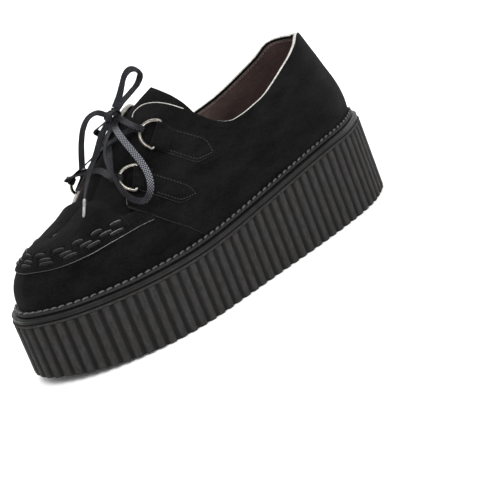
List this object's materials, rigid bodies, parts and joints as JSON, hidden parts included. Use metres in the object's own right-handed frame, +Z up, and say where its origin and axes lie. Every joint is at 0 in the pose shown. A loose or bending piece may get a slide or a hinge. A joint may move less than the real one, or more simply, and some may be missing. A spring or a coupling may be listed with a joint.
{
  "type": "platform shoe",
  "caption": "Low black suede lace-up shoe for the left foot, with a woven apron, D-ring lacing and a thick ribbed platform sole.",
  "frame": {"origin": "centre of the bounding box of the solids without the free lace, on the floor under the sole", "axes": "+Z up from the floor, +Y to the toe, +X to the inner side of the foot"},
  "size_m": [0.099, 0.2748, 0.1463],
  "materials": {
    "suede": "black suede, short nap",
    "sole": "dark crepe, matt",
    "midsole": "near-black, satin",
    "welt": "black, stitched",
    "footbed": "red-brown, matt",
    "ring": "polished nickel plate",
    "lace": "flat woven lace",
    "aglet": "clear film, silvery"
  },
  "bodies": {
    "root": {"outsole": "sole", "midsole": "midsole", "welt": "welt", "insole": "footbed", "upper": "suede", "apron_tongue": "suede", "ring_tab_top_outer": "suede", "ring_tab_top_inner": "suede", "ring_tab_low_outer": "suede", "ring_tab_low_inner": "suede", "d_ring_top_outer": "ring", "d_ring_top_inner": "ring", "d_ring_low_outer": "ring", "d_ring_low_inner": "ring", "lace_bar": "lace", "lace_cross": "lace", "lace_run_outer": "lace", "lace_run_inner": "lace", "lace_knot": "lace", "lace_loop_up": "lace", "lace_loop_down": "lace", "lace_end_inner": "lace", "lace_end_outer": "lace", "aglet_inner": "aglet", "aglet_outer": "aglet"}
  },
  "joints": []
}
